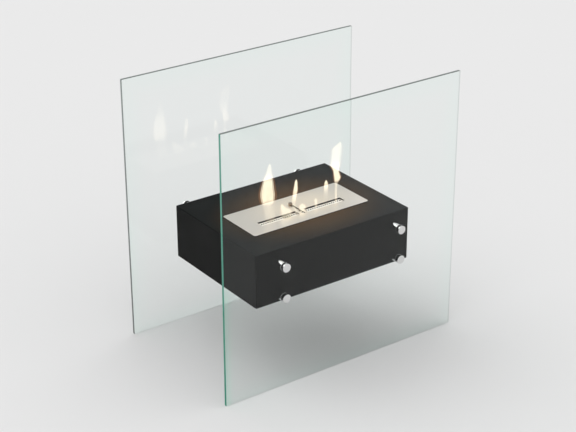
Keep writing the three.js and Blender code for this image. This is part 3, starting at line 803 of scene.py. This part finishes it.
def outward_range(node):
    """The nearest and furthest distance of a standoff's node from the middle plane, its axis, its
    direction and its radius."""
    low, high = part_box(node)
    direction = Vector((0, 1, 0)) if low.y > 0 else Vector((0, -1, 0))
    near, far = sorted((abs(low.y), abs(high.y)))
    axis = Vector(((low.x + high.x) / 2, 0.0, (low.z + high.z) / 2))
    return near, far, axis, direction, (high.z - low.z) / 2


def merged_copy(node, flat=True):
    """A node's mesh with its loose triangles joined, and its flat faces whole."""
    bm = bmesh.new()
    bm.from_mesh(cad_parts[node].data)
    bmesh.ops.remove_doubles(bm, verts=bm.verts, dist=1e-6)
    if flat:
        bmesh.ops.dissolve_limit(bm, angle_limit=math.radians(0.5), verts=bm.verts, edges=bm.edges)
    return bm


def blacken(bm, faces):
    """Gives faces the piece's second material."""
    for face in faces:
        face.material_index = 1


# ---------------------------------------------------------------- glass panels

glass_low, glass_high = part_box("glass_front")


def glass_panel(node, face, side):
    """The pane, with its own material on its two faces, its upright edges, its top and its foot."""
    bm = merged_copy(node, flat=False)
    for part in bm.faces:
        if abs(part.normal.y) > 0.9:
            part.material_index = 0
        elif abs(part.normal.x) > abs(part.normal.z):
            part.material_index = 1
        else:
            part.material_index = 2 if part.normal.z > 0 else 3
    finish_piece(bm, node + "_pane", [face, side, glass_top, glass_foot], "stand", [node], 0.0)


# ---------------------------------------------------------------- standoffs


def ring_round_stud(radius, near, far):
    """The profile of a plain ring with the stud's bore."""
    return [(STUD_BORE_RADIUS, near), (radius, near), (radius, far), (STUD_BORE_RADIUS, far),
            (STUD_BORE_RADIUS, near)]


def standoff_barrel(node):
    near, far, axis, direction, radius = outward_range(node)
    bm = turned(ring_round_stud(radius, near, far), axis, direction)
    finish_piece(bm, node + "_turned", [polished], "stand", [node])


def standoff_inner_gasket(node):
    """A washer between barrel and pane, with a collar in the pane's hole."""
    near, far, axis, direction, radius = outward_range(node)
    pane_at = abs(glass_high.y)
    profile = [(STUD_BORE_RADIUS, near), (radius, near), (radius, pane_at), (COLLAR_RADIUS, pane_at),
               (COLLAR_RADIUS, far), (STUD_BORE_RADIUS, far), (STUD_BORE_RADIUS, near)]
    bm = turned(profile, axis, direction, SMALL_ROUND)
    finish_piece(bm, node + "_moulded", [rubber], "stand", [node])


def standoff_outer_gasket(node):
    near, far, axis, direction, radius = outward_range(node)
    bm = turned(ring_round_stud(radius, near, far), axis, direction, SMALL_ROUND)
    finish_piece(bm, node + "_moulded", [rubber], "stand", [node])


def standoff_cap(node, seat):
    """The cap outside the pane, and the stud that it draws in."""
    near, far, axis, direction, radius = outward_range(node)
    profile = [(0, near), (STUD_RADIUS, near), (STUD_RADIUS, seat), (radius, seat), (radius, far), (0, far)]
    bm = turned(profile, axis, direction)
    finish_piece(bm, node + "_turned", [polished], "stand", [node])


def standoff_screw(node, seat):
    """The socket screw inside the firebox. Its head rests on the wall at seat."""
    near, far, axis, direction, radius = outward_range(node)
    dome = (seat - near) / 2
    profile = [(radius - dome, near), (radius, near + dome), (radius, seat), (STUD_RADIUS, seat),
               (STUD_RADIUS, far), (0, far)]
    bm = turned(profile, axis, direction, SMALL_ROUND, SCREW_SEGMENTS, (SOCKET_RADIUS, SOCKET_DEPTH))
    finish_piece(bm, node + "_turned", [screw_finish], "stand", [node])


def dress_standoffs():
    gasket_low, gasket_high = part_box("standoff_back_upper_left_outer_gasket")
    cap_seat = abs(glass_low.y) + gasket_high.y - gasket_low.y
    wall_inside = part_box("standoff_back_upper_left_barrel")[0].y - SHELL_SHEET
    for side in ("front", "back"):
        for row in ("upper", "lower"):
            for end in ("left", "right"):
                prefix = f"standoff_{side}_{row}_{end}"
                standoff_barrel(prefix + "_barrel")
                standoff_inner_gasket(prefix + "_inner_gasket")
                standoff_outer_gasket(prefix + "_outer_gasket")
                standoff_cap(prefix + "_cap", cap_seat)
                standoff_screw(prefix + "_screw", wall_inside)


# ---------------------------------------------------------------- firebox


def dress_firebox():
    shell = merged_copy("firebox_shell")
    finish_piece(shell, "firebox_shell_coated", [coat], "stand", ["firebox_shell"], 50.0)
    base = merged_copy("firebox_base")
    rounded(base, sharp_edges(base), SHEET_ROUND)
    finish_piece(base, "firebox_base_coated", [coat], "stand", ["firebox_base"])
    for index in range(1, 5):
        base_screw(f"base_screw_{index}")


def base_screw(node):
    low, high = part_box(node)
    radius = (high.x - low.x) / 2
    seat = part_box("firebox_base")[0].z
    axis = Vector(((low.x + high.x) / 2, (low.y + high.y) / 2, 0.0))
    profile = [(radius - BASE_HEAD_ROUND, low.z), (radius, low.z + BASE_HEAD_ROUND), (radius, seat),
               (SCREW_SHANK_RADIUS, seat), (SCREW_SHANK_RADIUS, high.z), (0, high.z)]
    socket = (BASE_SOCKET_RADIUS, BASE_SOCKET_DEPTH)
    bm = turned(profile, axis, Vector((0, 0, 1)), SMALL_ROUND, SCREW_SEGMENTS, socket)
    finish_piece(bm, node + "_turned", [screw_finish], "stand", [node])


# ---------------------------------------------------------------- fuel block


def dress_plate():
    """The brushed plate. Its edges, the walls of its slots and its underside take the near-black
    painted-shade steel.
    """
    low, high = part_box("burner_plate")
    bm = merged_copy("burner_plate")
    rounded(bm, sharp_edges(bm), SHEET_ROUND)
    margin = TANK_CORNER_RADIUS
    # Painted shade: edges, underside and slot walls go near-black, as the shadow gap round the plate and the
    # shade in its slots.
    darkened = []
    for face in bm.faces:
        middle = face.calc_center_median()
        inside = low.x + margin < middle.x < high.x - margin and low.y + margin < middle.y < high.y - margin
        if face.normal.z < 0.3 or (inside and face.normal.z < 0.98):
            darkened.append(face)
    blacken(bm, darkened)
    finish_piece(bm, "burner_plate_brushed", [brushed, shade_steel], "burner", ["burner_plate"])


def dress_tank():
    """Pressed tray: a block with rounded uprights and a rounded bottom, opened and given its wall."""
    low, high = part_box("fuel_tank")
    bm = bmesh.new()
    bmesh.ops.create_cube(bm, size=1.0)
    bmesh.ops.scale(bm, vec=high - low, verts=bm.verts)
    bmesh.ops.translate(bm, vec=(low + high) / 2, verts=bm.verts)
    uprights = [e for e in bm.edges if abs(e.verts[0].co.z - e.verts[1].co.z) > MM]
    rounded(bm, uprights, TANK_CORNER_RADIUS, 8)
    bottom = [e for e in bm.edges if all(v.co.z < low.z + MM for v in e.verts)]
    rounded(bm, bottom, TANK_BOTTOM_RADIUS, 4)
    lids = [f for f in bm.faces if f.calc_center_median().z > high.z - MM / 10]
    bmesh.ops.delete(bm, geom=lids, context="FACES_ONLY")
    bmesh.ops.recalc_face_normals(bm, faces=bm.faces)
    bmesh.ops.solidify(bm, geom=bm.faces[:], thickness=TANK_SHEET)
    finish_piece(bm, "fuel_tank_pressed", [brushed], "burner", ["fuel_tank"])


def cut_across(bm, axis, places):
    """Cuts a mesh through square to an axis, at each place along it."""
    for place in places:
        at, normal = Vector((0, 0, 0)), Vector((0, 0, 0))
        at[axis], normal[axis] = place, 1.0
        bmesh.ops.bisect_plane(bm, geom=bm.verts[:] + bm.edges[:] + bm.faces[:], dist=1e-6,
                               plane_co=at, plane_no=normal)


def evenly(start, end, step):
    """Places between start and end, about a step apart."""
    count = max(1, round((end - start) / step))
    return [start + (end - start) * index / count for index in range(1, count)]


def dress_wool():
    """The fibre pad: cut into a fine net, roughened inwards, and hollowed along its groove."""
    low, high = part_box("wool_pad")
    bm = merged_copy("wool_pad")
    cut_across(bm, 0, evenly(low.x, high.x, WOOL_CELL))
    cut_across(bm, 1, evenly(low.y, high.y, WOOL_CELL))
    cut_across(bm, 2, evenly(low.z, high.z, 2 * WOOL_CELL))
    step = GROOVE_HALF_WIDTH / GROOVE_CUTS
    cut_across(bm, 1, [GROOVE_Y + step * index for index in range(-GROOVE_CUTS, GROOVE_CUTS + 1)])
    bm.normal_update()
    moves = []
    for vert in bm.verts:
        lump = 0.5 + 0.5 * noise.noise(vert.co / WOOL_LUMP_SIZE)
        drop = Vector((0, 0, 0))
        if vert.co.z > high.z - MM / 10:
            off = abs(vert.co.y - GROOVE_Y) / GROOVE_HALF_WIDTH
            drop.z = GROOVE_DEPTH * max(0.0, 1.0 - off * off)
        moves.append((vert, vert.normal * WOOL_LUMP_DEPTH * max(0.0, lump) + drop))
    for vert, move in moves:
        vert.co -= move
    pad = finish_piece(bm, "wool_pad_fibre", [wool], "burner", ["wool_pad"], 60.0, False)


def dress_shutter():
    for node in ("shutter_rail_left", "shutter_rail_right"):
        rail = merged_copy(node)
        rounded(rail, sharp_edges(rail), THIN_SHEET_ROUND)
        finish_piece(rail, node + "_folded", [brushed], "burner", [node])
    lid = merged_copy("shutter_lid")
    # Painted shade: the lid's sides and underside go near-black, as the shade in the slots.
    blacken(lid, [face for face in lid.faces if face.normal.z < 0.5])
    rounded(lid, sharp_edges(lid), THIN_SHEET_ROUND)
    finish_piece(lid, "shutter_lid_brushed", [brushed, shade_steel], "shutter", ["shutter_lid"])
    low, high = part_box("shutter_knob")
    lid_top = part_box("shutter_lid")[1].z
    head_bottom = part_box("burner_plate")[1].z + KNOB_HEAD_GAP
    axis = Vector(((low.x + high.x) / 2, (low.y + high.y) / 2, 0.0))
    profile = [(0, low.z), (KNOB_PIN_RADIUS, low.z), (KNOB_PIN_RADIUS, lid_top), (KNOB_STEM_RADIUS, lid_top),
               (KNOB_STEM_RADIUS, head_bottom), (KNOB_HEAD_RADIUS, head_bottom), (KNOB_HEAD_RADIUS, high.z),
               (0, high.z)]
    knob = turned(profile, axis, Vector((0, 0, 1)), SMALL_ROUND)
    finish_piece(knob, "shutter_knob_turned", [knob_finish], "shutter", ["shutter_knob"])


# ---------------------------------------------------------------- flames


def curve_between(start, end, slope_in, slope_out, share):
    """A smooth curve from start to end with the given slopes, at a share of the way."""
    rest = 1.0 - share
    return (start * rest * rest * (1 + 2 * share) + end * share * share * (3 - 2 * share)
            + slope_in * share * rest * rest - slope_out * share * share * rest)


def outline_at(stations, height):
    """The middle and half width of a flame at a height above the wool, in millimetres."""
    last = len(stations) - 1
    index = next((i for i in range(last) if height <= stations[i + 1][0]), last - 1)
    start, end = stations[index], stations[index + 1]
    before, after = stations[max(index - 1, 0)], stations[min(index + 2, last)]
    span = end[0] - start[0]
    share = (height - start[0]) / span
    values = []
    for part in (1, 2):
        slope_in = (end[part] - before[part]) / (end[0] - before[0]) * span
        slope_out = (after[part] - start[part]) / (after[0] - start[0]) * span
        values.append(curve_between(start[part], end[part], slope_in, slope_out, share))
    return values[0], max(0.0, values[1])


def smooth_share(value, low, high):
    """0 below low, 1 above high, and a soft rise between them."""
    share = min(1.0, max(0.0, (value - low) / (high - low)))
    return share * share * (3 - 2 * share)


def build_flame(name, flame, foot):
    """Nested closed skins, each a ball drawn out along the flame's stations."""
    bm = bmesh.new()
    cover_layer = bm.verts.layers.float.new("flame_cover")
    body_layer = bm.verts.layers.float.new("flame_body")
    pale_layer = bm.verts.layers.float.new("flame_pale")
    stations, pale_from = flame["stations"], flame["pale_from"]
    top = stations[-1][0]
    for width_share, cover, pale in FLAME_SKINS:
        ball = bmesh.ops.create_uvsphere(bm, u_segments=FLAME_SIDES, v_segments=FLAME_RINGS, radius=1.0)
        for vert in ball["verts"]:
            height = (vert.co.z + 1) / 2 * top
            middle, half_width = outline_at(stations, height)
            off_axis = math.hypot(vert.co.x, vert.co.y)
            side = Vector((vert.co.x, vert.co.y)) / off_axis if off_axis > 1e-6 else Vector((0, 0))
            width = width_share * half_width * min(1.0, off_axis * FLAME_END_FLARE)
            place = Vector((middle + side.x * width, side.y * width * FLAME_DEPTH_SHARE, height))
            vert.co = place * MM + foot
            thinned = 1 - (1 - FLAME_THIN_SHARE) * smooth_share(height, *flame["thins"])
            paleness = smooth_share(height, pale_from - FLAME_PALE_BLEND, pale_from)
            vert[cover_layer] = cover * flame["density"] * thinned
            vert[body_layer] = max(flame["foot"], smooth_share(height, *flame["clear_to"]))
            vert[pale_layer] = pale * (FLAME_YELLOW_SHARE + (1 - FLAME_YELLOW_SHARE) * paleness)
    bmesh.ops.recalc_face_normals(bm, faces=bm.faces)
    piece = finish_piece(bm, name, [gas], "burner", crease=180.0, flat_faces=False)
    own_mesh(piece)


def light_flames():
    foot = Vector((0.0, SLOT_MIDDLE_Y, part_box("wool_pad")[1].z))
    for name, flame in FLAMES.items():
        build_flame(name, flame, foot)


# ---------------------------------------------------------------- build

bpy.context.scene.view_settings.view_transform = "Standard"
place_camera()
light_studio()
lay_floor()

handling_marks = make_smudges()
powder_grain = make_powder_grain()
brush_lines = make_brush_lines()
turning_rings = make_turning_rings()

coat = black_powder_coat()
brushed = brushed_stainless()
shade_steel = painted_shade_steel()
polished = polished_steel()
screw_finish = turned_steel("screw_steel", SCREW_LOW, SCREW_HIGH)
knob_finish = turned_steel("browned_steel", KNOB_LOW, KNOB_HIGH)
rubber = gasket_rubber()
wool = ceramic_wool()
gas = burning_gas()
face_front = float_glass("float_glass_front", lambda tree: pane_tint(tree, PANE_GLOW_FRONT), PANE_BEND)
face_back = float_glass("float_glass_back", lambda tree: pane_tint(tree, PANE_GLOW_BACK), PANE_BEND)
glass_foot = float_glass("float_glass_foot", lambda tree: FOOT_EDGE_TINT, 1.0)
glass_top = glass_edge("ground_edge_top", EDGE_TOP, EDGE_TOP)
edge_front = glass_edge("ground_edge_front", EDGE_FRONT_LOW, EDGE_FRONT_HIGH)
edge_back = glass_edge("ground_edge_back", EDGE_BACK_LOW, EDGE_BACK_HIGH)

glass_panel("glass_front", face_front, edge_front)
glass_panel("glass_back", face_back, edge_back)
dress_standoffs()
dress_firebox()
dress_plate()
dress_tank()
dress_wool()
dress_shutter()
light_flames()
